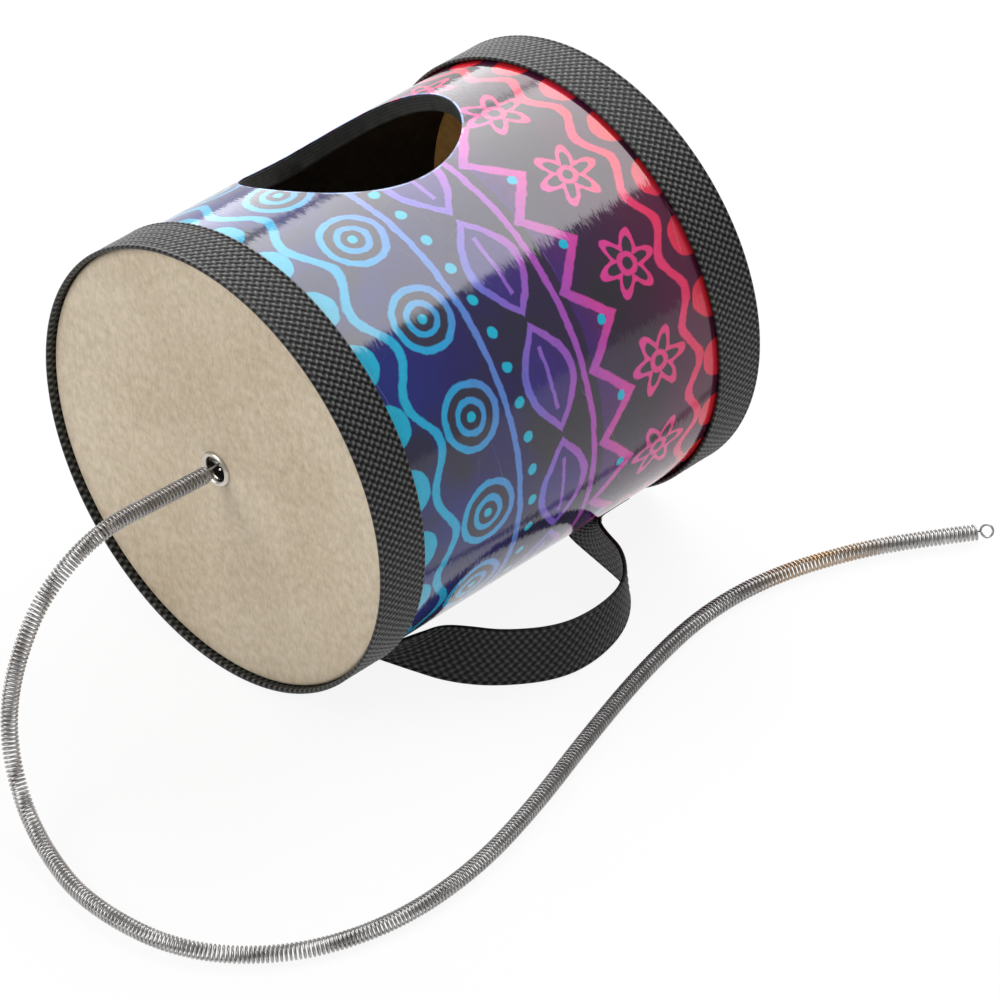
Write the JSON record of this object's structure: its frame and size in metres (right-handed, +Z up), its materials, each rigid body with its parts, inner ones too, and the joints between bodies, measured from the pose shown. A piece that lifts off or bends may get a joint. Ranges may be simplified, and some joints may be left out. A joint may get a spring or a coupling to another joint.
{
  "type": "thunder tube spring drum",
  "caption": "Short round drum on its side with a head at each end, a sound hole, a webbing carry strap and a long coil spring hanging from an eyelet in the front head.",
  "frame": {"origin": "on the floor under the drum's axis, halfway along the drum", "axes": "+Y along the drum's axis towards the back head, +Z up, +X towards the side where the strap and the spring lie"},
  "size_m": [0.2143, 0.3408, 0.157],
  "materials": {
    "fibre_shell": "matt black painted fibre board",
    "printed_film": "glossy printed wrap",
    "skin": "fibrous synthetic skin",
    "webbing": "woven black webbing",
    "strap_webbing": "woven black webbing",
    "nickel": "nickel plated",
    "steel_pin": "plain steel",
    "spring_steel": "bright drawn wire",
    "black_rivet": "black enamel"
  },
  "bodies": {
    "drum": {"shell": "fibre_shell", "printed_wrap": "printed_film", "front_head": "skin", "back_head": "skin", "front_rim_webbing": "webbing", "back_rim_webbing": "webbing", "eyelet": "nickel", "eyelet_washer": "nickel", "strap_front_tab": "strap_webbing", "strap_rear_tab": "strap_webbing", "strap_rivets": "black_rivet", "strap_rivet_washers": "steel_pin"},
    "anchor": {"spring_anchor_pin": "steel_pin"},
    "spring": {"spring": "spring_steel"},
    "strap": {"strap_loop": "strap_webbing"}
  },
  "joints": [
    {"name": "spring_swivel", "type": "hinge", "parent": "drum", "child": "anchor", "pos_m": [0, -0.0799, 0.0785], "axis": [0, 1, 0], "continuous": true},
    {"name": "spring_swing", "type": "hinge", "parent": "anchor", "child": "spring", "pos_m": [0, -0.0799, 0.0785], "axis": [1, 0, 0], "range_deg": [-25, 25]},
    {"name": "strap_flop", "type": "hinge", "parent": "drum", "child": "strap", "pos_m": [0.03332, 0, 0.00864], "axis": [0, -1, 0], "range_deg": [-125, 12], "deforming": ["strap_loop"]}
  ]
}
